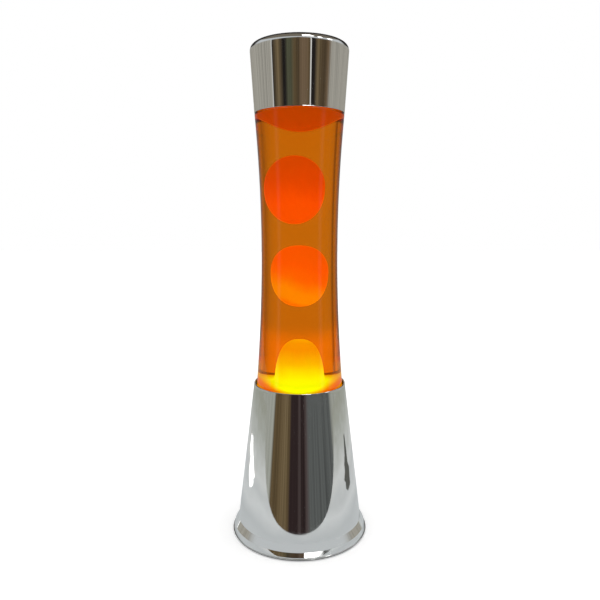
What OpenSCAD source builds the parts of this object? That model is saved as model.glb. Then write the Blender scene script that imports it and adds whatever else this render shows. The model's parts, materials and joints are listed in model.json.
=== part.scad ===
// Lava lamp: a chromed cone base with a reflector bulb inside it, a waisted glass bottle of amber
// liquid and wax that stands in the base's mouth, and a chromed cap that lifts off the bottle.
// Millimetres. +Z is up, the origin is the middle of the floor under the feet, the front is -Y
// and the cord inlet is at the back, +Y. Every round part shares the Z axis unless it says otherwise.

/* [Base] */
// Height of the base's top rim
rim_z = 127.5; // [125:0.5:129]
// Outer radius of the base at its top rim
rim_r = 37.7; // [37.7:0.1:38.4]
// Outer radius of the cone where the foot flares out of it
cone_foot_r = 51.8; // [51.4:0.1:52.2]
// Height at which the foot flares out of the cone
flare_z = 10.6; // [10:0.1:11]
// Outer radius of the foot
foot_r = 56.8; // [56.5:0.1:57.2]
// Thickness of the base's and the cap's sheet metal
sheet_t = 0.8; // [0.6:0.1:0.9]
// Number of rubber feet
foot_count = 4; // [3:1:5]

/* [Bottle] */
// Outer radius of the glass at its waist
waist_r = 30.7; // [29.5:0.1:31]
// Height of the waist
waist_z = 240; // [235:1:245]
// Outer radius of the glass at the base's rim
glass_rim_r = 35.5; // [35:0.1:35.6]
// Outer radius of the glass just under the cap
shoulder_r = 35.3; // [35:0.1:35.4]
// Thickness of the glass
glass_t = 2.8; // [2.4:0.1:3]
// Height of the underside of the bottle
bottle_z = 105; // [104:0.5:106]
// Outer radius of the bottle's neck
neck_r = 12.8; // [12.4:0.1:12.9]
// Height of the top of the bottle's mouth
mouth_z = 384; // [382:0.5:385]

/* [Cap] */
// Height of the cap's bottom edge
cap_z = 343.7; // [343.5:0.1:344.5]
// Outer radius of the cap at its bottom edge
cap_bottom_r = 35.4; // [35.3:0.1:35.6]
// Outer radius that the cap's side would reach at its top
cap_top_r = 38.8; // [38.4:0.1:39.2]
// Radius of the cap's rounded top edge
cap_round = 5; // [4:0.5:7]
// Height of the whole lamp
lamp_h = 395; // [394:0.5:397]

/* [Wax] */
// Height of the wax pool's surface in the bottom of the bottle
pool_z = 127; // [126.5:0.5:129]
// Height of the top of the mound that rises out of the pool
mound_z = 164.5; // [160:0.5:167]
// Radius of the mound where it leaves the pool
mound_r = 15.1; // [13:0.1:16]
// Height of the middle of the lower blob
lower_blob_z = 216.4; // [214:0.2:219]
// Radius of the lower blob
lower_blob_r = 17.6; // [15:0.1:18]
// Half of the lower blob's height
lower_blob_h = 24.7; // [22:0.1:25]
// Height of the middle of the upper blob
upper_blob_z = 284.8; // [283:0.2:286]
// Radius of the upper blob
upper_blob_r = 18.4; // [15:0.1:18.8]
// Half of the upper blob's height
upper_blob_h = 26.8; // [24:0.1:27]
// Sideways place of the upper blob
upper_blob_x = -3; // [-4:0.1:0]
// Height of a blob's widest part above its middle
blob_lift = 2.5; // [0:0.1:4]
// Height of the lowest point of the wax under the cap
top_wax_z = 329.5; // [328:0.5:332]
// Depth to which that wax hangs below the line where it meets the glass
top_wax_depth = 20; // [16:0.5:22]

/* [Light] */
// Height of the top of the bulb
bulb_top_z = 97; // [96:0.5:98]
// Radius of the reflector bulb
bulb_r = 19.5; // [19:0.1:19.6]
// Height of the bulb's tip contact
bulb_tip_z = 31; // [31:0.1:31.4]
// Radius of the lampholder's body
holder_r = 13; // [12.5:0.1:14]
// Height of the metal strap that carries the lampholder
strap_z = 14.4; // [14.4:0.1:14.8]
// Height of the cord inlet's middle
inlet_z = 20; // [19:0.5:22]
// Radius of the cord inlet's bore
inlet_r = 2.7; // [2.5:0.1:3]

/* [Hidden] */

$fn = 96;
touch = 0.1;              // gap between pieces that lie face to face
blob_gap = 0.3;           // gap between a blob and the liquid round it
wall_steps = 20;          // cones that make up the bottle's side
cone_slope = (cone_foot_r - rim_r) / (rim_z - flare_z);
wall_tilt = atan(cone_slope);
rim_roll = 0.55;          // radius of the rolled edge at the base's rim
skirt_z = 120;            // below this height the bottle is a plain cylinder inside the base
corner_r = 8;             // rounding at the bottle's bottom edge
inner_corner_r = 5;
glass_floor = 4;
floor_z = bottle_z + glass_floor;
side_top_z = cap_z - 0.9; // where the glass turns in under the cap's edge
dome_r = cap_bottom_r - sheet_t - 0.7;
dome_z = cap_z + 0.2;
dome_h = 19;
dome_end = 70;            // angle at which the dome runs into the neck's foot
neck_foot_z = 367;
top_wax_r = 31;           // radius at which the wax under the cap has its full depth
top_wax_surface_z = dome_z + 13;
lower_blob_power = 0.84;
upper_blob_power = 0.96;
bore_r = 8;
bead_r = 13.3;
bead_h = 6;
coil_r = 22;              // radius of the heating coil's ring
coil_turn_r = 2.3;
coil_wire_r = 0.35;
coil_turns = 30;
thread_pitch = 2.822;     // pitch of an E14 thread
thread_r = 6.7;           // mean radius of an E14 thread
thread_depth = 0.25;
thread_z = bulb_tip_z + 5;
thread_turns = 4.5;
strap_t = 1.2;
strap_end_x = 38;
post_x = 32;
cover_lip_z = 0.3;
cover_z = 0.9;            // underside of the metal foot's hem
cover_top_z = 3;
cover_r = 54.6;
fixing_r = 48;            // radius of the circle of the cover's screws
fixing_count = 3;
foot_pad_r = 6;
foot_circle_r = 44;

// Points of an arc, from angle a0 to a1
function arc(cx, cz, r, a0, a1, n) =
    [for (i = [0:n]) let (a = a0 + (a1 - a0) * i / n) [cx + r * cos(a), cz + r * sin(a)]];

// n + 1 evenly spaced values from a to b
function steps(a, b, n) = [for (i = [0:n]) a + (b - a) * i / n];

function backwards(points) = [for (i = [len(points) - 1:-1:0]) points[i]];

// Outer radius of the base's cone
function cone_r(z) = cone_foot_r - cone_slope * (z - flare_z);

// Outer radius of the bottle's side: two parabolas that meet at the waist
function side_r(z) = z < waist_z
    ? waist_r + (glass_rim_r - waist_r) * pow((waist_z - z) / (waist_z - rim_z), 2)
    : waist_r + (shoulder_r - waist_r) * pow((z - waist_z) / (side_top_z - waist_z), 2);
function glass_r(z) = side_r(max(z, skirt_z));

// Inner surface of the bottle, from the floor's corner up to height z
function inner_side(z, gap) = concat(
    arc(
        glass_r(0) - glass_t - inner_corner_r, floor_z + inner_corner_r, inner_corner_r - gap, -90, 0, 5
    ),
    [for (h = steps(skirt_z, z, wall_steps)) [glass_r(h) - glass_t - gap, h]]
);

// Inner surface of the dome that closes the bottle under the cap
function inner_dome(gap) = [
    for (a = steps(0, dome_end, 6)) [
        bore_r + (dome_r - glass_t - bore_r) * cos(a) - gap, dome_z + (dome_h - glass_t) * sin(a) - gap
    ]
];

// Outline of a blob, widest above its middle: an ellipse at power 1, squarer at a lower power
function blob_outline(r, h, power) = concat(
    [[0, -h]],
    [
        for (a = steps(-84, 84, 20)) let (half = a > 0 ? h - blob_lift : h + blob_lift)
            [r * pow(cos(a), power), blob_lift + half * sign(a) * pow(abs(sin(a)), 0.96)]
    ],
    [[0, h]]
);

// Outline of the mound, from its top down to the pool
function mound_outline(gap) = concat(
    [[0, mound_z + gap]],
    [
        for (a = steps(84, 12, 12))
            [mound_r * pow(cos(a), 0.72) + gap, pool_z + (mound_z - pool_z) * sin(a) + gap]
    ],
    [[mound_r + 0.5 + gap, pool_z + 3 + gap], [mound_r + 2.6 + gap, pool_z + gap]]
);

// Rounded underside of the wax that has gathered under the cap
function top_wax_underside(gap) = [
    for (s = steps(0, 1, 10)) [s * top_wax_r, top_wax_z + top_wax_depth * pow(s, 1.9) - gap]
];

module lathe(points) {
    rotate_extrude() polygon(points);
}

module tube(z0, z1, r_out, r_in) {
    difference() {
        translate([0, 0, z0]) cylinder(r = r_out, h = z1 - z0);
        translate([0, 0, z0 - 1]) cylinder(r = r_in, h = z1 - z0 + 2);
    }
}

module rod(z0, z1, r) {
    translate([0, 0, z0]) cylinder(r = r, h = z1 - z0);
}

// Copies its children n times round the Z axis
module round_z(n, first = 0) {
    for (i = [0:n - 1]) rotate(first + i * 360 / n) children();
}

// Puts +Z along the outward normal of the base's back wall at the cord inlet
module at_inlet() {
    translate([0, cone_r(inlet_z) - sheet_t / 2, inlet_z]) rotate([wall_tilt - 90, 0, 0]) children();
}

// ---- base ----

module base_shell() {
    hem_r = foot_r - 0.5;
    outside = [
        [foot_r - 1.6, cover_z], [foot_r - 0.2, cover_z], [foot_r, cover_z + 0.35],
        [foot_r - 0.1, cover_z + 0.8], [hem_r, 2.1], [55.7, 4.2], [55.1, 5.5], [54.5, 6.5], [53.4, 8],
        [52.4, 9.5], [cone_foot_r, flare_z + 0.6], [rim_r, rim_z - rim_roll]
    ];
    inside = [
        [rim_r - sheet_t, rim_z - rim_roll - 0.5], [cone_foot_r - sheet_t, flare_z + 0.6], [51.7, 9.5],
        [52.7, 8], [53.8, 6.5], [54.4, 5.5], [55, 4.2], [55.3, 2.6], [foot_r - 1.6, 2]
    ];
    color("silver") difference() {
        union() {
            lathe(concat(outside, inside));
            rotate_extrude() translate([rim_r - rim_roll, rim_z - rim_roll])
                circle(r = rim_roll, $fn = 32);
        }
        at_inlet() translate([0, 0, -4]) cylinder(r = 5.3, h = 8, $fn = 6);
    }
}

// Pressed ring under the bottle, bonded to the inside of the cone, with holes that let warm air rise
module bottle_seat() {
    top = bottle_z - touch;
    under = top - sheet_t;
    skirt = top - 10;
    to_cone = sheet_t + touch;
    color("gainsboro") difference() {
        lathe([
            [21, under], [cone_r(under) - to_cone - sheet_t, under],
            [cone_r(skirt) - to_cone - sheet_t, skirt], [cone_r(skirt) - to_cone, skirt],
            [cone_r(top) - to_cone, top], [21, top]
        ]);
        round_z(8) translate([30, 0, under - 1]) cylinder(r = 3, h = 3);
    }
}

// Channel-shaped strap across the base that carries the lampholder
module holder_strap() {
    under = strap_z - strap_t;
    color("lightgray") difference() {
        union() {
            translate([-strap_end_x, -9, under]) cube([2 * strap_end_x, 18, strap_t]);
            for (y = [-9, 9 - strap_t]) translate([-strap_end_x, y, under - 3])
                cube([2 * strap_end_x, strap_t, 4]);
        }
        rod(under - 1, strap_z + 1, 5.2);
        for (x = [-post_x, post_x]) translate([x, 0, under - 1]) cylinder(r = 1.8, h = 4);
    }
}

module pan_head_screw(head_r, head_h, shank_r, shank_l) {
    difference() {
        union() {
            cylinder(r = head_r, h = head_h);
            translate([0, 0, -shank_l]) cylinder(r = shank_r, h = shank_l + 0.1);
        }
        for (a = [0, 90]) rotate(a) translate([-head_r * 0.6, -0.35, head_h - 0.6])
            cube([head_r * 1.2, 0.7, 1]);
    }
}

module strap_screws() {
    color("silver") for (x = [-post_x, post_x])
        translate([x, 0, strap_z + 0.05]) pan_head_screw(3, 1.8, 1.4, 9);
}

module lampholder_body() {
    top = bulb_tip_z + 21;
    color("ivory") difference() {
        union() {
            rod(strap_z, 28, holder_r);
            rod(27, top - 2, holder_r - 2.2);
            rod(top - 2, top, holder_r - 1.2);
        }
        rod(bulb_tip_z - 1, top + 1, 8);
        rod(bulb_tip_z - 5, bulb_tip_z, 5);
        rod(strap_z - 1, strap_z + 6, 5.05);
        for (x = [-1, 1]) {
            translate([x * (holder_r + 4), 0, 21]) cube([10, 14, 8], center = true);
            translate([x * 6.2, 0, 21]) rotate([0, 90 * x, 0]) cylinder(r = 1.3, h = 20);
            translate([x * 7.5, 0, strap_z - 1]) cylinder(r = 1.4, h = 8);
        }
    }
}

// Metal sleeve whose rounded ribs take the bulb's thread
module lampholder_sleeve() {
    top = thread_z + thread_turns * thread_pitch;
    ribs = [
        for (z = steps(thread_z, top, thread_turns * 6))
            [thread_r + 0.2 + thread_depth * cos(360 * (z - thread_z) / thread_pitch), z]
    ];
    color("darkkhaki") lathe(concat([[7.9, thread_z]], [[7.9, top]], backwards(ribs)));
}

// Sprung tongue that presses on the bulb's tip
module lampholder_contact() {
    top = bulb_tip_z - 0.3;
    foot = bulb_tip_z - 5;
    color("gold") {
        translate([-4, -2, foot + 0.05]) cube([8, 4, 0.5]);
        translate([-4, -2, foot + 0.05]) cube([0.5, 4, top - foot - 0.05]);
        translate([-4, -2, top - 0.5]) cube([6.5, 4, 0.5]);
    }
}

module terminal_screws() {
    color("gold") for (side = [0, 180])
        rotate(side) translate([holder_r - 0.95, 0, 21]) rotate([0, 90, 0])
            pan_head_screw(2.2, 1.4, 1.2, 4);
}

// Hollow threaded tube that clamps the lampholder to the strap
module holder_nipple() {
    color("silver") tube(8, strap_z + 5.5, 5, 3.5);
}

module nipple_nut() {
    color("silver") difference() {
        translate([0, 0, strap_z - strap_t - 3.05]) cylinder(r = 7.4, h = 3, $fn = 6);
        rod(5, strap_z, 5.03);
    }
}

// Black plastic plate that closes the base, with vents and two posts for the strap
module base_cover() {
    color("#202020") difference() {
        union() {
            rod(cover_lip_z, cover_z - 0.05, foot_r - 0.6);
            rod(cover_lip_z, cover_top_z, cover_r);
            for (x = [-post_x, post_x]) translate([x, 0, cover_top_z - 1])
                cylinder(r = 4, h = strap_z - strap_t - cover_top_z + 0.95);
        }
        for (x = [-post_x, post_x]) translate([x, 0, 4]) cylinder(r = 1.5, h = 12);
        round_z(foot_count, 45) translate([foot_circle_r, 0, -1])
            cylinder(r = foot_pad_r + 0.1, h = 2.3);
        round_z(fixing_count, 30) {
            translate([fixing_r, 0, -1]) cylinder(r = 1.9, h = 6);
            translate([fixing_r, 0, -1]) cylinder(r = 3.7, h = 2.7);
        }
        for (side = [90, 270], a = [-32:16:32]) rotate(side + a)
            translate([24, -1.5, -1]) cube([12, 3, 6]);
    }
}

// Angle tabs welded inside the foot, which take the cover's screws
module fixing_tabs() {
    color("lightgray") intersection() {
        round_z(fixing_count, 30) difference() {
            union() {
                translate([44, -5, cover_top_z + 0.05]) cube([6, 10, 1]);
                translate([49.4, -5, cover_top_z + 0.05]) cube([2, 10, 16]);
            }
            translate([fixing_r, 0, 0]) cylinder(r = 1.3, h = 8);
        }
        lathe([[0, 0], [cone_r(0) - sheet_t - 0.03, 0], [cone_r(40) - sheet_t - 0.03, 40], [0, 40]]);
    }
}

module cover_screws() {
    color("silver") round_z(fixing_count, 30) translate([fixing_r, 0, 1.65]) rotate([180, 0, 0])
        pan_head_screw(2.8, 1.1, 1.2, 5);
}

module rubber_feet() {
    color("#303030") round_z(foot_count, 45) translate([foot_circle_r, 0, 0]) {
        cylinder(r1 = foot_pad_r - 0.4, r2 = foot_pad_r, h = 0.4);
        translate([0, 0, 0.4]) cylinder(r = foot_pad_r, h = 0.85);
    }
}

// Rubber bush that lines the cord's hole; its six-sided waist keeps it from turning
module cord_grommet() {
    color("#202020") at_inlet() difference() {
        union() {
            translate([0, 0, -0.95]) cylinder(r = 5.1, h = 2, $fn = 6);
            lathe([[0, 0.45], [6.3, 0.45], [6.3, 1.3], [5.2, 2.2], [4, 2.6], [0, 2.6]]);
            translate([0, 0, -2.6]) cylinder(r = 6.3, h = 1.65);
            translate([0, 0, -8]) cylinder(r1 = 4, r2 = 4.8, h = 6);
        }
        translate([0, 0, -9]) cylinder(r = inlet_r, h = 13);
    }
}

// ---- bulb ----

bulb_neck_z = bulb_tip_z + 19;
bulb_wide_z = bulb_top_z - 13;

// Outline of the reflector bulb's glass, drawn in by t
function envelope(t) = concat(
    [[6.3 - t, bulb_neck_z]],
    [
        for (s = steps(0, 1, 12)) [
            6.3 + (bulb_r - 6.3) * pow(sin(90 * s), 1.5) - t,
            bulb_neck_z + 5 + (bulb_wide_z - bulb_neck_z - 5) * s
        ]
    ],
    [
        for (a = steps(10, 90, 8))
            [(bulb_r - t) * cos(a), bulb_wide_z + (bulb_top_z - bulb_wide_z - t) * sin(a)]
    ]
);

module bulb_envelope() {
    color("whitesmoke", 0.6) lathe(concat(envelope(0), backwards(envelope(0.7))));
}

module bulb_screw_cap() {
    top = thread_z + thread_turns * thread_pitch;
    wave = [
        for (z = steps(thread_z, top, thread_turns * 6))
            [thread_r + thread_depth * cos(360 * (z - thread_z) / thread_pitch), z]
    ];
    wall = 0.35;
    inner = [for (p = wave) [p[0] - wall, p[1]]];
    collar = [[6.95, top + 1], [6.95, bulb_tip_z + 23], [6.6, bulb_tip_z + 23], [6.6, top + 1.3]];
    color("silver") lathe(concat(wave, collar, backwards(inner)));
}

module bulb_insulator() {
    color("#181818") lathe([
        [2.5, bulb_tip_z + 2], [6, thread_z - 0.6], [6, thread_z], [4, thread_z + 0.5],
        [1.2, bulb_tip_z + 3], [1.2, bulb_tip_z + 2]
    ]);
}

module bulb_tip() {
    top = bulb_tip_z + 1.95;
    color("silver") lathe(concat(
        [[0, bulb_tip_z]], arc(1.6, bulb_tip_z + 0.8, 0.8, -90, 0, 4), [[2.4, top], [0, top]]
    ));
}

// Glass stem that closes the neck and holds the wires
module bulb_stem() {
    foot = bulb_neck_z + 0.3;
    color("whitesmoke", 0.6) lathe([
        [0, foot], [5.5, foot], [5.5, foot + 1], [3.2, foot + 4], [2.4, foot + 8], [2.4, foot + 14],
        [0, foot + 15]
    ]);
}

module bulb_wires() {
    color("silver") for (x = [-1, 1])
        translate([x * 1.2, 0, bulb_neck_z + 15.4]) rotate([0, x * 32, 0])
            cylinder(r = 0.3, h = 14.2, $fn = 24);
}

// Coiled tungsten arc between the ends of the two wires
module bulb_filament() {
    color("orange") translate([0, 0, bulb_neck_z + 28])
        rotate([0, 0, 180]) rotate_extrude(angle = 180) translate([9.1, 0]) circle(r = 0.45, $fn = 24);
}

// ---- bottle ----

module glass_bottle() {
    foot_r_in = glass_r(0) - corner_r;
    outside = concat(
        [[0, bottle_z]],
        arc(foot_r_in, bottle_z + corner_r, corner_r, -90, 0, 8),
        [for (z = steps(skirt_z, side_top_z, wall_steps)) [glass_r(z), z]],
        [[shoulder_r - 0.4, side_top_z + 0.35]],
        [
            for (a = steps(0, dome_end, 8))
                [neck_r + (dome_r - neck_r) * cos(a), dome_z + dome_h * sin(a)]
        ],
        [
            [neck_r, neck_foot_z], [neck_r, mouth_z - bead_h - 1], [bead_r, mouth_z - bead_h],
            [bead_r, mouth_z - 3], [bead_r - 0.7, mouth_z - 0.8], [bead_r - 2.2, mouth_z]
        ]
    );
    inside = concat(
        [[0, floor_z]], inner_side(side_top_z, 0), inner_dome(0),
        [[bore_r, neck_foot_z - glass_t], [bore_r, mouth_z]]
    );
    color("orange", 0.35) lathe(concat(outside, backwards(inside)));
}

module lower_blob(gap) {
    translate([0, 0, lower_blob_z])
        lathe(blob_outline(lower_blob_r + gap, lower_blob_h + gap, lower_blob_power));
}

module upper_blob(gap) {
    translate([upper_blob_x, 0, upper_blob_z])
        lathe(blob_outline(upper_blob_r + gap, upper_blob_h + gap, upper_blob_power));
}

module wax_blob_lower() {
    color("darkorange") lower_blob(0);
}

module wax_blob_upper() {
    color("orangered") upper_blob(0);
}

// Space inside the bottle below its neck, drawn in by gap
module bottle_inside(gap) {
    dome = inner_dome(gap);
    top = dome[len(dome) - 1][1];
    lathe(concat([[0, floor_z + gap]], inner_side(side_top_z, gap), dome, [[0, top]]));
}

// Everything above the underside of the wax under the cap, up to height top
module over_underside(gap, top) {
    lathe(concat(top_wax_underside(gap), [[top_wax_r, top], [0, top]]));
}

module liquid() {
    color("#c86e00", 0.5) difference() {
        bottle_inside(touch);
        lathe(concat(
            mound_outline(touch), [[rim_r, pool_z + touch], [rim_r, bottle_z], [0, bottle_z]]
        ));
        over_underside(touch, mouth_z);
        lower_blob(blob_gap);
        upper_blob(blob_gap);
    }
}

// Pool and mound of molten wax, with a groove where the heating coil lies
module wax_mound() {
    color("yellow") difference() {
        lathe(concat([[0, floor_z + touch]], inner_side(pool_z, touch), backwards(mound_outline(0))));
        rotate_extrude() translate([coil_r, floor_z + coil_turn_r + 0.6])
            circle(r = coil_turn_r + 0.7);
    }
}

module wax_top() {
    color("orangered") intersection() {
        bottle_inside(2 * touch);
        over_underside(0, top_wax_surface_z);
    }
}

// Corner k of the wire's five-sided section at angle a round the ring
function coil_point(a, k) = let (
    turn = a * coil_turns,
    corner = k * 72,
    across = coil_turn_r * cos(turn) + coil_wire_r * cos(corner) * cos(turn),
    up = coil_turn_r * sin(turn) + coil_wire_r * cos(corner) * sin(turn),
    r = coil_r + across,
    along = coil_wire_r * sin(corner)
) [r * cos(a) - along * sin(a), r * sin(a) + along * cos(a), up];

// Closed loop of coiled wire on the bottle's floor, which starts the wax moving
module heating_coil() {
    rings = coil_turns * 8;
    points = [for (i = [0:rings - 1], k = [0:4]) coil_point(i * 360 / rings, k)];
    faces = [
        for (i = [0:rings - 1], k = [0:4]) let (
            a = i * 5 + k,
            b = i * 5 + (k + 1) % 5,
            c = ((i + 1) % rings) * 5 + (k + 1) % 5,
            d = ((i + 1) % rings) * 5 + k
        ) each [[a, b, c], [a, c, d]]
    ];
    color("gray") translate([0, 0, floor_z + coil_turn_r + coil_wire_r + 0.15])
        polyhedron(points, faces);
}

// Crimped bottle top with 21 flutes
module crown_cap() {
    flutes = 21;
    top = mouth_z + 1.4;
    skirt = mouth_z - 4.8;
    step = 360 / flutes / 6;
    wavy = [
        for (a = [0:step:360 - step / 2]) (bead_r + 1.5 + 0.4 * cos(a * flutes)) * [cos(a), sin(a)]
    ];
    color("gold") difference() {
        union() {
            translate([0, 0, skirt]) linear_extrude(top - 2.3 - skirt) polygon(wavy);
            lathe([
                [0, top], [bead_r - 1.2, top], [bead_r + 0.6, top - 0.9], [bead_r + 1.1, top - 2.5],
                [0, top - 2.5]
            ]);
        }
        rod(skirt - 1, mouth_z + 0.65, bead_r + 0.1);
    }
}

module crown_seal() {
    color("white") rod(mouth_z + 0.03, mouth_z + 0.6, bead_r - 0.2);
}

// ---- cap ----

module cap_shell() {
    side_slope = (cap_top_r - cap_bottom_r) / (lamp_h - cap_z);
    round_z0 = lamp_h - cap_round;
    side_r_at_round = cap_bottom_r + side_slope * (round_z0 - cap_z);
    outside = concat(
        [[cap_bottom_r - sheet_t, cap_z], [cap_bottom_r - 0.15, cap_z], [cap_bottom_r, cap_z + 0.3]],
        arc(side_r_at_round - cap_round, round_z0, cap_round, 0, 90, 10),
        [[0, lamp_h]]
    );
    inside = concat(
        [[0, lamp_h - sheet_t]],
        arc(side_r_at_round - cap_round, round_z0, cap_round - sheet_t, 90, 0, 10)
    );
    color("silver") lathe(concat(outside, inside));
}

base_shell();
bottle_seat();
holder_strap();
strap_screws();
lampholder_body();
lampholder_sleeve();
lampholder_contact();
terminal_screws();
holder_nipple();
nipple_nut();
base_cover();
fixing_tabs();
cover_screws();
rubber_feet();
cord_grommet();
bulb_envelope();
bulb_screw_cap();
bulb_insulator();
bulb_tip();
bulb_stem();
bulb_wires();
bulb_filament();
glass_bottle();
liquid();
wax_mound();
wax_blob_lower();
wax_blob_upper();
wax_top();
heating_coil();
crown_cap();
crown_seal();
cap_shell();
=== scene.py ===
"""Looks of a lava lamp: a chromed cone base and cap, a bottle of amber liquid, and wax whose light from below
is a painted glow.
"""

import json
import math

import bpy
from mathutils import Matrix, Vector
from mathutils.bvhtree import BVHTree


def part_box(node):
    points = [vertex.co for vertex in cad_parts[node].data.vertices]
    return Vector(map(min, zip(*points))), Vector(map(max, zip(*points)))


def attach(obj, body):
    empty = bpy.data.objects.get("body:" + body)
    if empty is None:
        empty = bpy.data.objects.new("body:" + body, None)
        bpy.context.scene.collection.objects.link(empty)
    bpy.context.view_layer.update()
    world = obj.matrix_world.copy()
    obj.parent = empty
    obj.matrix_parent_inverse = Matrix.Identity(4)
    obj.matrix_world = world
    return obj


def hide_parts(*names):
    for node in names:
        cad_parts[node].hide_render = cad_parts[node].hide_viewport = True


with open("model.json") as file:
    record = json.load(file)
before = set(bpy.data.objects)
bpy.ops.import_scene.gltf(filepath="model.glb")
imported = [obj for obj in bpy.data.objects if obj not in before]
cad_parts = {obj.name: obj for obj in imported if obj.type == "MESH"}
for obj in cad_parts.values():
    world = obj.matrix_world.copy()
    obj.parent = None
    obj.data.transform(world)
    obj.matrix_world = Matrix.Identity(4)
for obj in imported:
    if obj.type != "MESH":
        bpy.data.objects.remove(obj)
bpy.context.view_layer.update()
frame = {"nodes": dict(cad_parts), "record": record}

MM = 0.001
AROUND = 256            # steps round a turned piece
TINY = 1e-6


# ---- colours ----

def shown(r, g, b):
    """Linear colour of a shade named by its 0 to 255 screen values."""
    def linear(value):
        value /= 255
        return value / 12.92 if value <= 0.04045 else ((value + 0.055) / 1.055) ** 2.4
    return (linear(r), linear(g), linear(b), 1.0)


# ---- measuring the frame ----

def solid(node):
    mesh = frame["nodes"][node].data
    return BVHTree.FromPolygons([v.co for v in mesh.vertices], [f.vertices for f in mesh.polygons])


SOLIDS = {node: solid(node) for node in ("glass_bottle", "wax_mound", "wax_top", "cap_shell", "base_shell")}


def radius_at(node, height, inner=False):
    """Radius of a turned CAD node's outer or inner wall at a height."""
    start = Vector((0, TINY, height)) if inner else Vector((1, TINY, height))
    way = Vector((1, 0, 0)) if inner else Vector((-1, 0, 0))
    place = SOLIDS[node].ray_cast(start, way)[0]
    if place is None:
        raise ValueError(f"{node} has no wall at {height}")
    return place.x


def height_at(node, radius, above=False):
    """Height of a turned CAD node's upper or lower face at a radius."""
    start = Vector((radius, TINY, 1 if above else -1))
    way = Vector((0, 0, -1 if above else 1))
    return SOLIDS[node].ray_cast(start, way)[0].z


def widest(node):
    """Height of a node's widest part."""
    points = [v.co for v in frame["nodes"][node].data.vertices]
    middle = sum((p.x for p in points), 0.0) / len(points)
    return max(points, key=lambda p: abs(p.x - middle)).z


def spread(a, b, count):
    """count + 1 evenly spaced values from a to b."""
    return [a + (b - a) * i / count for i in range(count + 1)]


def smooth(points, each=6):
    """Points of a smooth curve through the given (radius, height) points."""
    ends = [points[0]] + list(points) + [points[-1]]
    out = []
    for p0, p1, p2, p3 in zip(ends, ends[1:], ends[2:], ends[3:]):
        for i in range(each):
            t = i / each
            out.append(tuple(
                0.5 * (2 * b + (c - a) * t + (2 * a - 5 * b + 4 * c - d) * t * t
                       + (3 * b - a - 3 * c + d) * t ** 3)
                for a, b, c, d in zip(p0, p1, p2, p3)
            ))
    return out + [tuple(points[-1])]


def arc(r, z, radius, start, end, count=12):
    """Points of an arc about (r, z), its angles in degrees."""
    return [
        (r + radius * math.cos(math.radians(a)), z + radius * math.sin(math.radians(a)))
        for a in spread(start, end, count)
    ]


def wall(node, low, high, inner=False, knots=24, shift=0.0):
    """Smooth outline of a turned CAD node's wall between two heights, moved outwards by shift."""
    return smooth([(radius_at(node, z, inner) + shift, z) for z in spread(low, high, knots)])


# ---- meshes ----

def mesh_piece(name, verts, faces, crease=35):
    mesh = bpy.data.meshes.new(name)
    mesh.from_pydata(verts, [], faces)
    mesh.validate()
    mesh.shade_smooth()
    mesh.set_sharp_from_angle(angle=math.radians(crease))
    mesh.update()
    piece = bpy.data.objects.new(name, mesh)
    bpy.context.scene.collection.objects.link(piece)
    return piece


def lathe(name, outline, around=AROUND, closed=True, crease=35, bend=None):
    """Solid turned round Z from (radius, height) points, listed with the material on their left.

    A point on the axis becomes a pole. bend(radius, height, angle) may shift a point to (x, y, z)."""
    place = bend or (lambda r, z, a: (r * math.cos(a), r * math.sin(a), z))
    verts, rings = [], []
    for r, z in outline:
        if r < TINY:
            rings.append([len(verts)] * around)
            verts.append(place(0.0, z, 0.0))
        else:
            rings.append(list(range(len(verts), len(verts) + around)))
            verts += [place(r, z, 2 * math.pi * i / around) for i in range(around)]
    faces = []
    pairs = list(zip(rings, rings[1:] + rings[:1])) if closed else list(zip(rings, rings[1:]))
    for low, high in pairs:
        for i in range(around):
            j = (i + 1) % around
            corners = [low[i], low[j], high[j], high[i]]
            corners = [c for k, c in enumerate(corners) if c not in corners[:k]]
            if len(corners) > 2:
                faces.append(corners)
    return mesh_piece(name, verts, faces, crease)


# ---- materials ----

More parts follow.
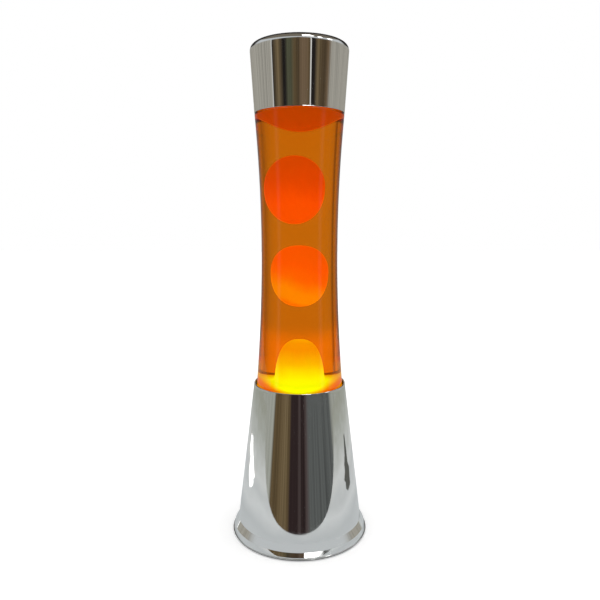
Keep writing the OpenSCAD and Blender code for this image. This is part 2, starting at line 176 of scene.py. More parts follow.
class Shader:
    """A material with one Principled shader, and short ways to add nodes to it."""

    def __init__(self, name, **sockets):
        self.material = bpy.data.materials.new(name)
        self.material.use_nodes = True
        self.tree = self.material.node_tree
        self.nodes = self.tree.nodes
        self.surface = next(n for n in self.nodes if n.type == "BSDF_PRINCIPLED")
        self.output = next(n for n in self.nodes if n.type == "OUTPUT_MATERIAL")
        self.coords = self.nodes.new("ShaderNodeTexCoord").outputs["Object"]
        for socket, value in sockets.items():
            self.surface.inputs[socket.replace("_", " ")].default_value = value

    def link(self, source, target):
        self.tree.links.new(source, target)

    def drive(self, source, socket):
        self.link(source, self.surface.inputs[socket])

    def noise(self, scale, detail=3.0, stretch=(1, 1, 1), roughness=0.5):
        """Noise of that many features per metre, stretched along an axis where its number is small."""
        mapping = self.nodes.new("ShaderNodeMapping")
        mapping.inputs["Scale"].default_value = stretch
        noise = self.nodes.new("ShaderNodeTexNoise")
        noise.inputs["Scale"].default_value = scale
        noise.inputs["Detail"].default_value = detail
        noise.inputs["Roughness"].default_value = roughness
        self.link(self.coords, mapping.inputs["Vector"])
        self.link(mapping.outputs["Vector"], noise.inputs["Vector"])
        return noise.outputs["Fac"]

    def fit(self, source, low, high, start=0.3, end=0.7):
        """source from start..end to low..high."""
        span = self.nodes.new("ShaderNodeMapRange")
        span.inputs["From Min"].default_value = start
        span.inputs["From Max"].default_value = end
        span.inputs["To Min"].default_value = low
        span.inputs["To Max"].default_value = high
        self.link(source, span.inputs["Value"])
        return span.outputs["Result"]

    def maths(self, operation, first, second):
        node = self.nodes.new("ShaderNodeMath")
        node.operation = operation
        for socket, value in zip(node.inputs, (first, second)):
            if isinstance(value, (int, float)):
                socket.default_value = value
            else:
                self.link(value, socket)
        return node.outputs["Value"]

    def ramp(self, source, stops):
        """Colour by source, from (place, colour) stops."""
        node = self.nodes.new("ShaderNodeValToRGB")
        fill_ramp(node, stops)
        self.link(source, node.inputs["Fac"])
        return node.outputs["Color"]

    def mix(self, share, first, second):
        """Colour between first and second."""
        node = self.nodes.new("ShaderNodeMixRGB")
        for socket, value in zip(node.inputs, (share, first, second)):
            self.link(value, socket)
        return node.outputs["Color"]

    def bump(self, height, depth, strength=1.0):
        """Bump of that depth in metres."""
        node = self.nodes.new("ShaderNodeBump")
        node.inputs["Strength"].default_value = strength
        node.inputs["Distance"].default_value = depth
        self.link(height, node.inputs["Height"])
        self.drive(node.outputs["Normal"], "Normal")

    def axis(self, name):
        """The object's own X, Y or Z, in metres."""
        split = self.nodes.new("ShaderNodeSeparateXYZ")
        self.link(self.coords, split.inputs["Vector"])
        return split.outputs[name]

    def off_axis(self, depth=1.0):
        """Distance from the Z axis, in metres, with Y counted as depth of its length."""
        flat = self.nodes.new("ShaderNodeVectorMath")
        flat.operation = "MULTIPLY"
        flat.inputs[1].default_value = (1, depth, 0)
        length = self.nodes.new("ShaderNodeVectorMath")
        length.operation = "LENGTH"
        self.link(self.coords, flat.inputs[0])
        self.link(flat.outputs["Vector"], length.inputs[0])
        return length.outputs["Value"]


def fill_ramp(node, stops):
    elements = node.color_ramp.elements
    while len(elements) > 1:
        elements.remove(elements[-1])
    elements[0].position, elements[0].color = stops[0]
    for place, colour in stops[1:]:
        elements.new(place).color = colour


def chrome_plate():
    """Bright plating with faint spin lines, smudges and a slightly wavy sheet under it."""
    s = Shader("chrome_plate", Metallic=1.0, Base_Color=(0.93, 0.93, 0.92, 1))
    s.drive(s.fit(s.noise(45, 4), 0.02, 0.075), "Roughness")
    waves = s.noise(28, 1, (1, 1, 0.35))
    lines = s.noise(40, 2, (0.2, 0.2, 30))
    s.bump(s.maths("ADD", waves, s.maths("MULTIPLY", lines, 0.015)), 0.00012)
    return s.material


def pressed_steel(name, shade=(0.6, 0.61, 0.62, 1), rough=0.3):
    """Zinc-plated steel with a fine grain and dull patches."""
    s = Shader(name, Metallic=1.0)
    dull = tuple(0.8 * c for c in shade[:3]) + (1,)
    s.drive(s.ramp(s.noise(220, 5), [(0.3, dull), (0.7, shade)]), "Base Color")
    s.drive(s.fit(s.noise(300, 4), rough, rough + 0.18), "Roughness")
    s.bump(s.noise(2500, 2), 0.00001)
    return s.material


def brass(name):
    s = Shader(name, Metallic=1.0)
    s.drive(s.ramp(s.noise(160, 4), [(0.3, shown(176, 134, 62)), (0.7, shown(214, 172, 92))]), "Base Color")
    s.drive(s.fit(s.noise(400, 3), 0.2, 0.42), "Roughness")
    s.bump(s.noise(2000, 2), 0.00001)
    return s.material


def solder():
    s = Shader("solder", Metallic=1.0)
    s.drive(s.ramp(s.noise(500, 3), [(0.3, shown(140, 140, 142)), (0.7, shown(190, 190, 188))]), "Base Color")
    s.drive(s.fit(s.noise(700, 3), 0.25, 0.5), "Roughness")
    s.bump(s.noise(900, 3), 0.00008)
    return s.material


def moulded(name, dark, light, rough=0.35, grain=900, depth=0.00002):
    """Moulded plastic or rubber with a fine skin."""
    s = Shader(name, Specular_IOR_Level=0.5)
    s.drive(s.ramp(s.noise(90, 3), [(0.3, dark), (0.7, light)]), "Base Color")
    s.drive(s.fit(s.noise(260, 3), rough, rough + 0.2), "Roughness")
    s.bump(s.noise(grain, 3), depth)
    return s.material


NO_MIRROR = (0, 0, 0, 1)
FULL_MIRROR = (1, 1, 1, 1)
POLISH = 0.0035         # roughness up to which a surface counts as perfectly smooth
GLASS_IOR = 1.45
GLASS_TINT = (0.97, 0.96, 0.94, 1)
LIQUID_IOR = 1.36


def bottle_glass(name, mirror):
    """Clear glass. Where liquid wets it, the two mirror next to nothing between them."""
    s = Shader(name, Transmission_Weight=1.0, IOR=GLASS_IOR, Base_Color=GLASS_TINT, Specular_Tint=mirror)
    s.drive(s.fit(s.noise(60, 3), 0.0, POLISH), "Roughness")
    s.bump(s.noise(22, 1, (1, 1, 0.3)), 0.00006)
    return s.material


LIQUID_TINT = (0.82, 0.29, 0.02, 1)      # what the liquid lets through at its surface
LIQUID_DEPTH = (0.94, 0.74, 0.0, 1)      # and what each stretch of it lets through
LIQUID_DENSITY = 30.0


def amber_liquid():
    s = Shader(
        "amber_liquid", Transmission_Weight=1.0, IOR=LIQUID_IOR, Base_Color=LIQUID_TINT, Specular_Tint=NO_MIRROR
    )
    s.drive(s.fit(s.noise(30, 2), 0.0, POLISH), "Roughness")
    depth = s.nodes.new("ShaderNodeVolumeAbsorption")
    depth.inputs["Color"].default_value = LIQUID_DEPTH
    depth.inputs["Density"].default_value = LIQUID_DENSITY
    s.link(depth.outputs["Volume"], s.output.inputs["Volume"])
    return s.material


def wax(name, low, high, stops, strength, lean=0.0):
    """Molten wax with painted light: its emission is a painted glow by height that stands in for the bulb's
    light from below, and its base colour too is painted lighter low down; stops run from its lowest to its
    highest point.

    lean tips the painted glow to one side, in metres of height per metre of X."""
    s = Shader(name, Subsurface_Weight=0.4, Subsurface_Scale=0.01, IOR=1.44, Specular_IOR_Level=0.1)
    s.surface.inputs["Subsurface Radius"].default_value = (1.0, 0.3, 0.05)
    height = s.fit(s.maths("SUBTRACT", s.axis("Z"), s.maths("MULTIPLY", s.axis("X"), lean)), 0, 1, low, high)
    mottled_glow_height = s.maths("ADD", height, s.fit(s.noise(60, 2), -0.04, 0.04))
    # painted light: height, with a little random mottling, drives the painted glow and the base colour that is
    # painted lighter low down
    light = s.ramp(mottled_glow_height, stops)
    s.drive(s.ramp(mottled_glow_height, [(0.0, shown(255, 150, 40)), (1.0, shown(232, 70, 12))]), "Base Color")
    s.drive(light, "Emission Color")
    s.surface.inputs["Emission Strength"].default_value = strength
    s.drive(s.fit(s.noise(120, 2), 0.3, 0.45), "Roughness")
    s.bump(s.noise(50, 2), 0.0002)
    return s


def bulb_glass():
    """Reflector bulb: mirrored behind, frosted and lit in front."""
    low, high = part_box("bulb_envelope")
    s = Shader("bulb_glass")
    height = s.fit(s.axis("Z"), 0, 1, low.z, high.z)
    s.drive(s.ramp(height, [(0.74, shown(205, 205, 200)), (0.78, shown(255, 246, 226))]), "Base Color")
    s.drive(s.fit(height, 1, 0, 0.74, 0.78), "Metallic")
    s.drive(s.ramp(height, [(0.74, (0, 0, 0, 1)), (0.80, shown(255, 214, 150))]), "Emission Color")
    s.surface.inputs["Emission Strength"].default_value = 4.0
    s.drive(s.fit(s.noise(200, 3), 0.18, 0.34), "Roughness")
    s.bump(s.noise(1200, 2), 0.00001)
    return s.material


def hot_tungsten():
    s = Shader("hot_tungsten", Metallic=1.0, Base_Color=shown(120, 110, 105))
    s.drive(
        s.ramp(s.noise(2000, 2), [(0.3, shown(255, 180, 90)), (0.7, shown(255, 214, 140))]), "Emission Color"
    )
    s.surface.inputs["Emission Strength"].default_value = 12.0
    s.drive(s.fit(s.noise(1500, 2), 0.4, 0.6), "Roughness")
    return s.material


def clear_glass(name, tint):
    s = Shader(name, Transmission_Weight=1.0, IOR=1.5, Base_Color=tint)
    s.drive(s.fit(s.noise(300, 2), 0.01, 0.06), "Roughness")
    s.bump(s.noise(200, 2), 0.00003)
    return s.material


# ---- pieces ----

def put(piece, body, slot, material, *nodes):
    piece.data.materials.append(material)
    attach(piece, body)
    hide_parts(*nodes)
    return piece


def glass_outlines():
    """Outer and inner outline of the bottle, each from the middle of its floor to its mouth."""
    low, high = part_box("glass_bottle")
    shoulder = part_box("cap_shell")[0].z - 0.9 * MM
    neck_top = high.z - 7 * MM
    outer_corner = 8 * MM
    inner_corner = 5 * MM
    floor = low.z + 4 * MM
    outer_wall = radius_at("glass_bottle", low.z + outer_corner + MM)
    inner_wall = radius_at("glass_bottle", low.z + outer_corner + MM, inner=True)
    neck = radius_at("glass_bottle", neck_top - 2 * MM)
    bore = radius_at("glass_bottle", neck_top, inner=True)
    bead = radius_at("glass_bottle", high.z - 4 * MM)
    outer = [(0, low.z + 1.2 * MM), (outer_wall * 0.62, low.z + 1.2 * MM)]
    outer += arc(outer_wall * 0.72, low.z + 2.0 * MM, 2.0 * MM, 200, 270, 6)
    outer += arc(outer_wall - outer_corner, low.z + outer_corner, outer_corner, -90, 0, 12)
    outer += wall("glass_bottle", low.z + outer_corner + MM, shoulder - 0.2 * MM, knots=40)
    outer += smooth([
        (radius_at("glass_bottle", z), z)
        for z in [shoulder + 0.6 * MM] + spread(shoulder + 2.5 * MM, shoulder + 22 * MM, 8)
    ], 4)
    outer += [(neck, neck_top - 5 * MM), (neck, neck_top), (bead - 0.2 * MM, neck_top + 0.8 * MM)]
    outer += [(bead, neck_top + 1.4 * MM), (bead, high.z - 3 * MM)]
    outer += arc(bead - 2.4 * MM, high.z - 2.4 * MM, 2.4 * MM, 10, 90, 8)
    inner = [(0, floor)] + arc(inner_wall - inner_corner, floor + inner_corner, inner_corner, -90, 0, 10)
    inner += wall("glass_bottle", floor + inner_corner + MM, shoulder - 0.2 * MM, inner=True, knots=40)
    inner += smooth([
        (radius_at("glass_bottle", z, inner=True), z) for z in spread(shoulder + MM, shoulder + 16 * MM, 8)
    ], 4)
    inner += [(bore, shoulder + 20 * MM), (bore, high.z - MM), (bore + MM, high.z)]
    return outer, inner


def glass_bottle():
    outer, inner = glass_outlines()
    piece = lathe("bottle_glass", outer + inner[::-1])
    put(piece, "bottle", "bottle_glass", bottle_glass("bottle_glass", FULL_MIRROR), "glass_bottle")
    piece.data.materials.append(bottle_glass("bottle_glass_wet", NO_MIRROR))
    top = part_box("wax_top")[1].z
    for face in piece.data.polygons:
        place = face.center
        inside = math.hypot(place.x, place.y) < radius_at("glass_bottle", place.z) - 1.5 * MM
        if inside and inner[0][1] - MM < place.z < top:
            face.material_index = 1


def liquid():
    """One body of liquid that fills the bottle between the pool and the wax under the cap.

    It reaches a hair into the glass, so that no air shows between them."""
    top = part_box("wax_top")[1].z - 2 * MM
    into = 0.15 * MM
    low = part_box("wax_mound")[0].z + 0.05 * MM
    corner = 5 * MM
    foot = radius_at("glass_bottle", low + 2 * corner, inner=True) + into
    side = arc(foot - corner, low + corner, corner, -90, -5, 8)
    side += wall("glass_bottle", low + 1.4 * corner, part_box("cap_shell")[0].z - 1.2 * MM, True, 40, into)
    dome = [
        (radius_at("glass_bottle", z, inner=True) + into, z)
        for z in spread(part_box("cap_shell")[0].z, top, 4)
    ]
    piece = lathe("amber_liquid", [(0, low)] + side + smooth(dome, 3) + [(0, top)])
    return put(piece, "bottle", "amber_liquid", amber_liquid(), "liquid")


BLOB_FULLNESS = 0.96    # below 1, the blob's outline is fuller than an ellipse
BLOB_SWAY = 0.02        # share of the radius that a blob is uneven by


def wax_blob(name, body, slot, material, power):
    """Blob with the CAD solid's width, height and outline, a little uneven. power is as in the CAD."""
    low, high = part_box(name)
    middle = (low + high) / 2
    middle.z = widest(name)
    r = (high.x - low.x) / 2
    h = (high.z - low.z) / 2
    outline = [(0, low.z - middle.z)]
    for a in spread(-88, 88, 64):
        up = math.sin(math.radians(a))
        half = high.z - middle.z if a > 0 else middle.z - low.z
        outline.append((
            r * math.cos(math.radians(a)) ** power, half * math.copysign(abs(up) ** BLOB_FULLNESS, up)
        ))
    outline.append((0, high.z - middle.z))

    def uneven(radius, z, angle):
        wobble = 1 - BLOB_SWAY * (0.5 + 0.5 * math.cos(2 * angle + 3 * z / h))
        return (
            middle.x + radius * wobble * math.cos(angle),
            middle.y + radius * wobble * math.sin(angle),
            middle.z + z,
        )
    piece = lathe(name, outline, around=128, closed=False, crease=60, bend=uneven)
    return put(piece, body, slot, material, name)


def wax_mound():
    """Wax over the bottle's floor, with the tall heap that rises from its middle."""
    low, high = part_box("wax_mound")
    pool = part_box("liquid")[0].z
    into = 0.1 * MM
    floor = smooth([
        (radius_at("wax_mound", z) - into, z) for z in spread(low.z + 0.4 * MM, low.z + 6 * MM, 6)
    ], 4)
    side = wall("wax_mound", low.z + 7 * MM, pool - 0.6 * MM, knots=10, shift=-into)
    edge = side[-1][0]
    waist = radius_at("wax_mound", pool + 5 * MM)
    foot = [(edge - 0.5 * MM, pool), (waist + 9 * MM, pool + 0.15 * MM), (waist + 4 * MM, pool + 0.6 * MM)]
    foot += [(waist + 1.3 * MM, pool + 1.9 * MM), (waist + 0.35 * MM, pool + 3.4 * MM)]
    heap = [(radius_at("wax_mound", z), z) for z in spread(pool + 5 * MM, high.z - 3.2 * MM, 11)]
    heap += [(r, height_at("wax_mound", r, above=True)) for r in (7.4 * MM, 4.6 * MM, 2.2 * MM)]
    outline = [(0, low.z + 0.2 * MM)] + floor + side + smooth(foot + heap + [(0, high.z)], 5)
    piece = lathe("wax_mound", outline, crease=50)
    return put(piece, "bottle", "wax_yellow", mound_wax(pool), "wax_mound")


def mound_wax(pool):
    """Painted light from the bulb below: a glow that is yellow over the lamp, orange towards the heap's top,
    and red-orange round the pool's edge.
    """
    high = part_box("wax_mound")[1]
    s = wax("wax_yellow", pool, high.z, [
        (0.0, (0.38, 1.0, 0.0, 1)),
        (0.15, (0.40, 0.96, 0.0, 1)),
        (0.31, (0.42, 0.75, 0.0, 1)),
        (0.47, (0.44, 0.52, 0.0, 1)),
        (0.79, (0.44, 0.31, 0.0, 1)),
        (0.93, (0.43, 0.34, 0.0, 1)),
        (1.0, (0.44, 0.42, 0.0, 1)),
    ], 2.1)
    # the heap's painted glow, by height
    heap = s.surface.inputs["Emission Color"].links[0].from_socket
    # painted light: the bulb's beam lights the pool's middle, so the pool's glow runs from yellow at the axis
    # to red-orange at its edge
    painted_pool_glow = s.ramp(s.fit(s.off_axis(0.55), 0, 1, 12 * MM, 31 * MM), [
        (0.0, (0.38, 0.98, 0.0, 1)),
        (0.24, (0.38, 0.92, 0.0, 1)),
        (0.40, (0.39, 0.50, 0.0, 1)),
        (0.58, (0.38, 0.16, 0.0, 1)),
        (0.85, (0.36, 0.08, 0.0, 1)),
        (1.0, (0.38, 0.22, 0.0, 1)),
    ])
    s.drive(s.mix(s.fit(s.axis("Z"), 0, 1, pool + MM, pool + 5 * MM), painted_pool_glow, heap), "Emission Color")
    return s.material


def wax_top():
    low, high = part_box("wax_top")
    into = 0.1 * MM
    edge = high.x - 0.2 * MM
    under = [(r, height_at("wax_top", r)) for r in [0.0] + spread(2 * MM, edge, 12)]
    side = wall("wax_top", under[-1][1] + 0.6 * MM, high.z - 0.3 * MM, knots=8, shift=-into)
    piece = lathe("wax_top", smooth(under) + side + [(0, high.z - 0.1 * MM)], crease=50)
    # painted glow: the emission stands in for the light that reaches this wax, a little brighter at its upper
    # edge
    material = wax("wax_dark_orange", low.z, high.z, [
        (0.0, (0.32, 0.085, 0.0, 1)),
        (0.6, (0.37, 0.090, 0.0, 1)),
        (1.0, (0.46, 0.125, 0.0, 1)),
    ], 1.0).material
    return put(piece, "bottle", "wax_dark_orange", material, "wax_top")


def blobs():
    # painted glow: each blob's emission is yellowest and brightest a little above its bottom, where the bulb's
    # light comes up through the wax; the lower blob's glow is tipped to one side
    low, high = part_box("wax_blob_lower")
    wax_blob("wax_blob_lower", "lower_blob", "wax_orange", wax("wax_orange", low.z, high.z, [
        (0.0, (0.85, 0.27, 0.0, 1)),
        (0.10, (0.88, 0.48, 0.0, 1)),
        (0.25, (0.92, 0.48, 0.0, 1)),
        (0.48, (0.95, 0.24, 0.0, 1)),
        (0.66, (0.95, 0.19, 0.0, 1)),
        (1.0, (0.86, 0.20, 0.0, 1)),
    ], 1.0, lean=-0.3).material, power=0.84)
    low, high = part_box("wax_blob_upper")
    wax_blob("wax_blob_upper", "upper_blob", "wax_red_orange", wax("wax_red_orange", low.z, high.z, [
        (0.0, (0.62, 0.14, 0.0, 1)),
        (0.15, (0.84, 0.15, 0.0, 1)),
        (0.30, (0.90, 0.14, 0.0, 1)),
        (0.45, (0.79, 0.12, 0.0, 1)),
        (0.66, (0.65, 0.11, 0.0, 1)),
        (1.0, (0.54, 0.13, 0.0, 1)),
    ], 1.0).material, power=0.96)


SHEET = 0.8 * MM        # thickness of the plated steel


def cap():
    low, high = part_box("cap_shell")
    rounding = 5 * MM
    crown = 0.12 * MM       # how far the top dips at its middle
    bottom = radius_at("cap_shell", low.z + 0.6 * MM)
    side = radius_at("cap_shell", high.z - rounding - 0.2 * MM)
    outer = [(bottom - 0.55 * MM, low.z), (bottom - 0.2 * MM, low.z)]
    outer += arc(bottom - 0.25 * MM, low.z + 0.25 * MM, 0.25 * MM, -60, 0, 4)
    edge, shoulder = low.z + 0.6 * MM, high.z - rounding
    outer += [(bottom + (side - bottom) * t, edge + (shoulder - edge) * t) for t in spread(0.02, 1, 24)]
    outer += arc(side - rounding, high.z - rounding, rounding, 4, 90, 20)
    outer += [((side - rounding) * t, high.z - crown * (1 - t * t)) for t in spread(0.97, 0, 12)]
    inner = [((side - rounding) * t, high.z - SHEET - crown * (1 - t * t)) for t in spread(0, 1, 6)]
    inner += arc(side - rounding, high.z - rounding, rounding - SHEET, 85, 0, 12)
    inner += [(bottom - SHEET, low.z + 0.3 * MM)]
    piece = lathe("cap_shell", outer + inner, crease=40, around=384)
    return put(piece, "cap", "chrome_plate", CHROME, "cap_shell")


def base():
    low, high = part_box("base_shell")
    foot = high.x
    flare_z = 11.2 * MM     # where the flare meets the cone
    rim_z = high.z - 1.2 * MM
    cone_low = radius_at("base_shell", flare_z + 0.2 * MM)
    cone_high = radius_at("base_shell", rim_z)
    roll = 0.55 * MM
    lip = [(foot - 1.5 * MM, low.z), (foot - 0.3 * MM, low.z)]
    lip += arc(foot - 0.35 * MM, low.z + 0.4 * MM, 0.35 * MM, -80, 80, 8)
    band = [(foot - 0.55 * MM, low.z + 0.75 * MM), (foot - 0.53 * MM, low.z + 0.95 * MM)]
    band += [(foot - 0.5 * MM - 1.16 * MM * t, low.z + 0.95 * MM + 4.2 * MM * t) for t in spread(0.06, 1, 10)]
    flare = [
        (band[-1][0] + (cone_low - band[-1][0]) * t, band[-1][1] + (flare_z - band[-1][1]) * t)
        for t in spread(0.04, 1, 8)
    ]
    cone = [
        (cone_low + (cone_high - cone_low) * t, flare_z + (rim_z - flare_z) * t)
        for t in spread(0.03, 1, 60)
    ]
    rim = arc(cone_high - roll, high.z - roll, roll, 0, 180, 16)
    inside = [(cone_high - SHEET, rim_z), (cone_low - SHEET, flare_z)]
    inside += [(r - SHEET, z) for r, z in flare[::-1][1:]] + [(r - SHEET, z) for r, z in band[::-1]]
    piece = lathe("base_shell", lip + band + flare + cone + rim + inside, crease=9, around=384)
    pierce(piece)
    return put(piece, "base", "chrome_plate", CHROME, "base_shell")


def pierce(piece):
    """Cuts the hole that the cord's rubber bush fills."""
    inlet = next(m for m in frame["record"]["mounts"] if m["name"] == "cord_inlet")
    r, reach = 4.4 * MM, 4 * MM
    drill = lathe("drill", [(0, -reach), (r, -reach), (r, reach), (0, reach)], 48, closed=False)
    drill.location = inlet["pos_m"]
    drill.rotation_euler = Vector(inlet["axis"]).to_track_quat("Z", "Y").to_euler()
    hole = piece.modifiers.new("hole", "BOOLEAN")
    hole.object = drill
    bpy.context.view_layer.update()
    cut = piece.evaluated_get(bpy.context.evaluated_depsgraph_get())
    piece.data = bpy.data.meshes.new_from_object(cut)
    piece.modifiers.clear()
    bpy.data.objects.remove(drill)


CHROME = chrome_plate()


def dress_cad_nodes():
    """Materials of the CAD nodes that keep their own shape."""
    steel = pressed_steel("zinc_steel")
    kept = {
        "chrome_plate": CHROME,
        "zinc_steel": steel,
        "holder_plastic": moulded("holder_plastic", shown(222, 214, 190), shown(238, 232, 212)),
        "contact_brass": brass("contact_brass"),
        "black_plastic": moulded("black_plastic", shown(20, 20, 21), shown(34, 34, 35), 0.4, 1400, 0.00004),
        "black_rubber": moulded("black_rubber", shown(26, 26, 26), shown(42, 41, 40), 0.6, 1100, 0.00003),
        "bulb_glass": bulb_glass(),
        "bulb_aluminium": pressed_steel("bulb_aluminium", (0.78, 0.78, 0.77, 1), 0.22),
        "black_glass": moulded("black_glass", shown(14, 12, 16), shown(26, 22, 30), 0.08, 400),
        "solder": solder(),
        "stem_glass": clear_glass("stem_glass", (0.93, 0.96, 0.94, 1)),
        "hot_tungsten": hot_tungsten(),
        "cap_tinplate": pressed_steel("cap_tinplate", (0.80, 0.66, 0.38, 1), 0.25),
        "seal_plastic": moulded("seal_plastic", shown(226, 226, 222), shown(240, 240, 236), 0.4),
    }
    for part in frame["record"]["subparts"]:
        node, slot = part["node"], part["material_slot"]
        obj = frame["nodes"][node]
        if obj.hide_render or slot not in kept:
            continue
        obj.data.materials.clear()
        obj.data.materials.append(kept[slot])


# ---- stage ----

# The made-up room that the plating mirrors: directions are in degrees, 0 towards the camera, + to its right.
PALE_WALL = (158, 155, 146)
GREY_WALL = (154, 156, 148)
WHITE_FRAME = (228, 228, 225)
SHADOW = (34, 31, 29)
TAN_CURTAIN = (114, 98, 72)
BROWN_WOOD = (92, 77, 54)
DARK_WOOD = (76, 63, 46)
MOSS = (78, 79, 62)
ROSE_WOOD = (108, 90, 70)
WINE = (46, 36, 36)
GREY_ROSE = (78, 68, 67)
SLATE = (88, 91, 90)
CAP_ROOM = [   # what stands round the lamp at the cap's height
    (-180, PALE_WALL), (-68, PALE_WALL), (-66.5, WHITE_FRAME), (-65, SHADOW), (-51, TAN_CURTAIN),
    (-38, SHADOW), (-33, SHADOW), (-27, MOSS), (-20, MOSS), (-12, BROWN_WOOD), (-2, DARK_WOOD),
    (4, ROSE_WOOD), (15, ROSE_WOOD), (24.5, BROWN_WOOD), (26, WHITE_FRAME), (27, WHITE_FRAME),
    (28, SHADOW), (35, SHADOW), (44, TAN_CURTAIN), (53, DARK_WOOD), (62, DARK_WOOD), (70, ROSE_WOOD),
    (79, PALE_WALL), (180, PALE_WALL),
]
BASE_ROOM = [  # and at the base's height
    (-180, GREY_WALL), (-62, GREY_WALL), (-58, BROWN_WOOD), (-44, BROWN_WOOD), (-30, TAN_CURTAIN),
    (-23, BROWN_WOOD), (-19, WINE), (-4, WINE), (0, GREY_ROSE), (4, WINE), (9, WINE),
    (14, GREY_ROSE), (20, SLATE), (74, SLATE), (80, GREY_WALL), (180, GREY_WALL),
]
BACKDROP = [   # what the bottle is seen against: direction from straight behind, share of white
    (-180, 0.6), (-66, 0.5), (-57, 0.42), (-50, 0.60), (-45, 0.64), (-42, 0.52), (-38, 0.45),
    (-34, 0.54), (-28, 0.68), (-20, 0.77), (-12, 0.81), (12, 0.81), (26, 0.76), (32, 0.70),
    (35, 0.36), (38, 0.34),
    (41, 0.70), (46, 0.62), (52, 0.48), (58, 0.32), (75, 0.5), (180, 0.6),
]
WARM_LIGHT = (1.6, 1.25, 0.3, 1)     # what the wax's glow makes of the backdrop low down
UPPER_WALL = (188, 192, 194)
CEILING = (110, 104, 93)
DARK_CORNER = (46, 44, 42)
WINDOWS = [    # bright openings: direction from and to, and height from and to, in degrees
    (8, 38, -1.2, 0.2), (46, 56, -1.2, 0), (62, 70, -1.2, 0.2),
    (9, 41, 46, 66), (48, 59, 35, 44), (71, 84, 26, 34),
]
WINDOW_LIGHT = 3.5
SKYLIGHT = (8, 36, 24, 80)      # the one that shows in the bottle's shoulder
FLOOR_BEYOND = (50, 49, 47)
GLASS_ROOM = [   # what the smooth glass mirrors: degrees from the camera's direction, share of white
    (0, 0.012), (54, 0.012), (63, 0.30), (72, 0.012), (128, 0.03), (150, 0.22), (180, 0.30),
]
PLATING = 0.93          # share of the light that the plating gives back
BLUR = math.radians(0.6)        # softness of a window's edges


def room_ramp(tree, source, stops):
    node = tree.nodes.new("ShaderNodeValToRGB")
    fill_ramp(node, [
        ((az + 180) / 360, tuple(c / PLATING for c in shown(*colour)[:3]) + (1,)) for az, colour in stops
    ])
    tree.links.new(source, node.inputs["Fac"])
    return node.outputs["Color"]


def grey(shade):
    return (shade, shade, shade, 1)


def grey_ramp(tree, source, stops):
    node = tree.nodes.new("ShaderNodeValToRGB")
    fill_ramp(node, [(place, grey(shade)) for place, shade in stops])
    tree.links.new(source, node.inputs["Fac"])
    return node.outputs["Color"]


def world_maths(tree, operation, *values):
    node = tree.nodes.new("ShaderNodeMath")
    node.operation = operation
    for socket, value in zip(node.inputs, values):
        if isinstance(value, (int, float)):
            socket.default_value = value
        else:
            tree.links.new(value, socket)
    return node.outputs["Value"]


def blend_colours(tree, share, first, second, blend="MIX"):
    node = tree.nodes.new("ShaderNodeMix")
    node.data_type = "RGBA"
    node.blend_type = blend
    for name, value in (("Factor", share), ("A", first), ("B", second)):
        socket = next(s for s in node.inputs if s.name == name and s.enabled and s.type in (
            ("VALUE",) if name == "Factor" else ("RGBA",)))
        if isinstance(value, (int, float, tuple)):
            socket.default_value = value
        else:
            tree.links.new(value, socket)
    return next(s for s in node.outputs if s.type == "RGBA")


def between(tree, value, low, high):
    """0 below low, 1 above high."""
    node = tree.nodes.new("ShaderNodeMapRange")
    node.interpolation_type = "SMOOTHSTEP"
    node.inputs["From Min"].default_value = low
    node.inputs["From Max"].default_value = high
    tree.links.new(value, node.inputs["Value"])
    return node.outputs["Result"]


def opening(tree, turn, z, window):
    """1 inside a window, 0 outside it."""
    left, right, bottom, top = (math.radians(a) for a in window)
    sides = world_maths(
        tree, "MULTIPLY", between(tree, turn, left - BLUR, left), between(tree, turn, right + BLUR, right)
    )
    ends = world_maths(
        tree, "MULTIPLY", between(tree, z, math.sin(bottom - BLUR), math.sin(bottom)),
        between(tree, z, math.sin(top + BLUR), math.sin(top)),
    )
    return world_maths(tree, "MULTIPLY", sides, ends)


def streaks(tree, turn, z):
    """Fine upright variation of the room, from 0 to a half."""
    place = tree.nodes.new("ShaderNodeCombineXYZ")
    tree.links.new(world_maths(tree, "MULTIPLY", turn, 22.0), place.inputs["X"])
    tree.links.new(world_maths(tree, "MULTIPLY", z, 1.5), place.inputs["Y"])
    noise = tree.nodes.new("ShaderNodeTexNoise")
    noise.inputs["Scale"].default_value = 1.0
    noise.inputs["Detail"].default_value = 5.0
    noise.inputs["Roughness"].default_value = 0.7
    tree.links.new(place.outputs["Vector"], noise.inputs["Vector"])
    return world_maths(tree, "MULTIPLY", between(tree, noise.outputs["Fac"], 0.42, 0.72), 0.5)


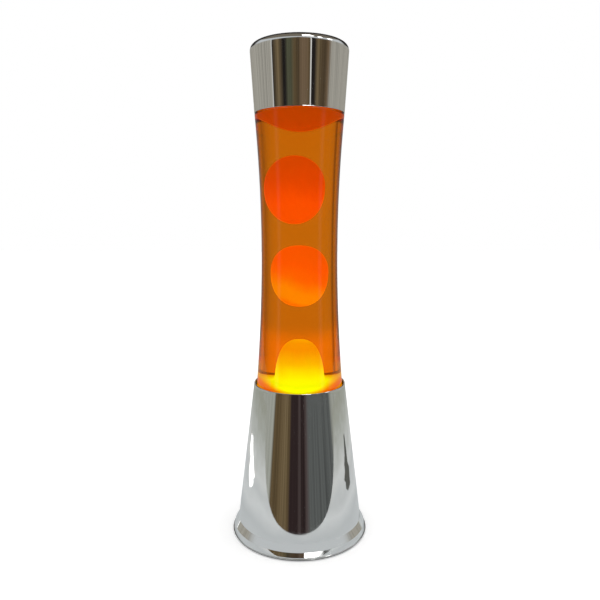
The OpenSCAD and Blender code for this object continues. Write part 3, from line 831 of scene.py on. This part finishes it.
def studio_room():
    """White studio light, the room that the plating mirrors, and what shows through and on the glass.

    z is the sine of a direction's height."""
    world = bpy.data.worlds.new("studio")
    bpy.context.scene.world = world
    world.use_nodes = True
    tree = world.node_tree
    background = next(n for n in tree.nodes if n.type == "BACKGROUND")
    coords = tree.nodes.new("ShaderNodeTexCoord")
    split = tree.nodes.new("ShaderNodeSeparateXYZ")
    tree.links.new(coords.outputs["Generated"], split.inputs["Vector"])
    x, y, z = (split.outputs[i] for i in range(3))
    turn = world_maths(tree, "ARCTAN2", x, world_maths(tree, "MULTIPLY", y, -1.0))
    share = world_maths(tree, "ADD", world_maths(tree, "DIVIDE", turn, 2 * math.pi), 0.5)
    walls = blend_colours(
        tree, between(tree, z, -0.05, 0.03), room_ramp(tree, share, BASE_ROOM), room_ramp(tree, share, CAP_ROOM)
    )
    walls = blend_colours(tree, streaks(tree, turn, z), walls, (0, 0, 0, 1))
    aside = world_maths(tree, "ABSOLUTE", turn)
    lower_aside = world_maths(tree, "MULTIPLY", world_maths(tree, "MINIMUM", aside, 0.9), 0.16)
    upper = world_maths(tree, "ADD", z, lower_aside)
    walls = blend_colours(tree, between(tree, upper, 0.36, 0.52), walls, shown(*UPPER_WALL))
    walls = blend_colours(tree, between(tree, z, 0.60, 0.66), walls, shown(*CEILING))
    corner = world_maths(
        tree, "MULTIPLY", between(tree, aside, math.radians(115), math.radians(135)),
        between(tree, z, 0.27, 0.32),
    )
    walls = blend_colours(tree, corner, walls, shown(*DARK_CORNER))
    for window in WINDOWS:
        walls = blend_colours(tree, opening(tree, turn, z, window), walls, grey(WINDOW_LIGHT))
    walls = blend_colours(tree, between(tree, z, -0.3, -0.5), walls, shown(*FLOOR_BEYOND))
    path = tree.nodes.new("ShaderNodeLightPath")
    from_behind = world_maths(tree, "FRACT", world_maths(tree, "ADD", share, 0.5))
    behind = grey_ramp(tree, from_behind, [((az + 180) / 360, shade) for az, shade in BACKDROP])
    behind = blend_colours(tree, between(tree, z, -0.215, -0.27), behind, WARM_LIGHT, "MULTIPLY")
    glass_room = grey_ramp(
        tree, world_maths(tree, "DIVIDE", aside, math.pi), [(az / 180, shade) for az, shade in GLASS_ROOM]
    )
    overhead = opening(tree, turn, z, SKYLIGHT)
    mirrored = blend_colours(tree, overhead, glass_room, grey(3 * WINDOW_LIGHT))
    walls = blend_colours(tree, path.outputs["Is Singular Ray"], walls, mirrored)
    light = blend_colours(tree, path.outputs["Is Glossy Ray"], (1.0, 1.0, 1.0, 1), walls)
    light = blend_colours(tree, path.outputs["Is Transmission Ray"], light, behind)
    tree.links.new(light, background.inputs["Color"])
    background.inputs["Strength"].default_value = 1.0


def card(name, height, corners, shader):
    """Flat sheet of the stage, level with the floor."""
    mesh = bpy.data.meshes.new(name)
    mesh.from_pydata([(x, y, height) for x, y in corners], [], [range(len(corners))])
    piece = bpy.data.objects.new(name, mesh)
    bpy.context.scene.collection.objects.link(piece)
    mesh.materials.append(shader.material)
    return piece


def only_mirrored(piece):
    piece.visible_camera = False
    piece.visible_transmission = False
    piece.visible_diffuse = False
    piece.visible_shadow = False


def table_paint():
    """Pale near the lamp, duller further off, with a painted contact shadow right under its foot, and patchy.
    """
    s = Shader("table_top", Roughness=0.9, Specular_IOR_Level=0.1)
    far = s.maths("MULTIPLY", s.off_axis(), s.fit(s.noise(9, 4), 0.85, 1.15))
    s.drive(s.ramp(far, [
        # the two darkest stops, inside the foot's radius, are a painted contact shadow under the lamp
        (0.0, shown(40, 40, 40)),
        (0.050, shown(60, 60, 60)),
        (0.062, shown(206, 211, 213)),
        (0.10, shown(192, 197, 199)),
        (0.14, shown(208, 212, 213)),
        (0.19, shown(192, 196, 197)),
        (0.25, shown(204, 207, 206)),
        (0.34, shown(186, 189, 186)),
        (0.50, shown(164, 167, 160)),
        (0.75, shown(150, 152, 141)),
    ]), "Base Color")
    return s


def around_lamp(places):
    """Corners from (distance, direction) places, the directions as in CAP_ROOM."""
    return [(r * math.sin(math.radians(az)), -r * math.cos(math.radians(az))) for r, az in places]


def oblong(x0, x1, y0, y1):
    return [(x0, y0), (x1, y0), (x1, y1), (x0, y1)]


def studio():
    studio_room()
    white = Shader(
        "floor", Base_Color=grey(0.97), Roughness=0.9, Specular_IOR_Level=0.1,
        Emission_Color=grey(1), Emission_Strength=0.2,
    )
    floor = card("floor", -0.0003, oblong(-4, 4, -4, 4), white)
    floor.visible_glossy = False
    floor.visible_transmission = False
    only_mirrored(card("table_top", -0.0002, oblong(-0.85, 0.85, -0.118, 0.85), table_paint()))
    sheet = Shader(
        "white_sheet", Base_Color=grey(0.98), Roughness=0.9, Emission_Color=grey(1), Emission_Strength=0.5
    )
    only_mirrored(card("white_sheet", -0.0001, around_lamp([
        (0.35, -118), (0.33, -129), (0.27, -127), (0.25, -118), (0.21, -117), (0.185, -112), (0.165, -104),
        (0.175, -98), (0.195, -94), (0.21, -97), (0.225, -93), (0.25, -101), (0.28, -106), (0.31, -113),
    ]), sheet))
    strip = Shader("dark_strip", Base_Color=shown(84, 85, 80), Roughness=0.9)
    only_mirrored(card("dark_strip", -0.0001, around_lamp([
        (0.165, 97), (0.18, 93), (0.20, 95), (0.215, 92), (0.24, 98), (0.27, 99), (0.30, 104), (0.39, 109),
        (0.39, 113), (0.30, 113), (0.25, 111), (0.22, 114), (0.19, 110), (0.17, 108),
    ]), strip))


CAMERA_PLACE = (0.0004, -0.4836, 0.264)
CAMERA_TILT = 82.0      # degrees from straight down
LENS = 35.7             # focal length in millimetres, on a sensor 36 mm wide


def camera():
    data = bpy.data.cameras.new("camera")
    data.sensor_width = 36.0
    data.lens = LENS
    view = bpy.data.objects.new("camera", data)
    view.location = CAMERA_PLACE
    view.rotation_euler = (math.radians(CAMERA_TILT), 0, 0)
    bpy.context.scene.collection.objects.link(view)
    bpy.context.scene.camera = view


glass_bottle()
liquid()
wax_mound()
wax_top()
blobs()
cap()
base()
dress_cad_nodes()
studio()
camera()
bpy.context.scene.view_settings.view_transform = "Standard"
